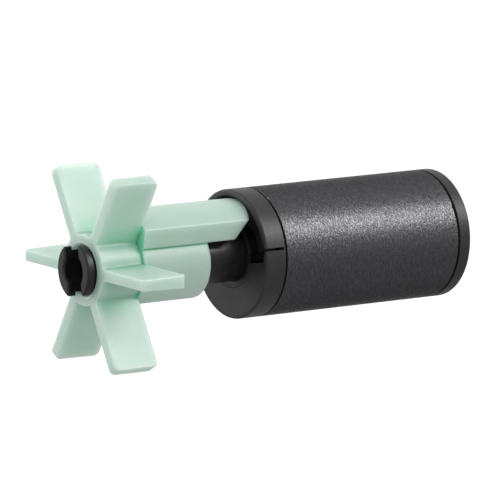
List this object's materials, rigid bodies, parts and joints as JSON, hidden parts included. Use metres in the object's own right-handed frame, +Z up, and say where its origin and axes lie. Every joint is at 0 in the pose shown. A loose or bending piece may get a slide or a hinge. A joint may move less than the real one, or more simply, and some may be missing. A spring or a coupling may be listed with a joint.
{
  "type": "wave maker pump impeller and magnet rotor",
  "caption": "Paddle impeller with a claw arm on the split-nose spindle of a magnet rotor, the moving core of an aquarium wave maker pump.",
  "frame": {"origin": "on the rotor's axis, half-way between the nose's front and the rear face, which is the centre of the bounding box", "axes": "+Y along the axis from the nose to the rear face, +Z up through the claw arm at rest, +X to the right seen from the nose"},
  "size_m": [0.0302, 0.0604, 0.027],
  "materials": {
    "mint_plastic": "satin",
    "black_plastic": "satin",
    "cap_plastic": "satin",
    "ferrite": "satin",
    "black_rubber": "matte",
    "white_ceramic": "satin",
    "washer_plastic": "matte"
  },
  "bodies": {
    "rotor": {"spindle": "black_plastic", "front_thrust_washer": "washer_plastic", "front_bearing": "white_ceramic", "retaining_ring": "black_plastic", "front_cap": "cap_plastic", "right_stop_pad": "black_rubber", "left_stop_pad": "black_rubber", "front_gasket": "black_rubber", "magnet": "ferrite", "rear_gasket": "black_rubber", "rear_cap": "cap_plastic", "rear_clip": "black_plastic", "rear_bearing": "white_ceramic", "rear_thrust_washer": "washer_plastic"},
    "impeller": {"impeller": "mint_plastic"}
  },
  "joints": [
    {"name": "impeller_lost_motion", "type": "hinge", "parent": "rotor", "child": "impeller", "pos_m": [0, 0, 0], "axis": [0, 1, 0], "range_deg": [-68, 50]}
  ]
}
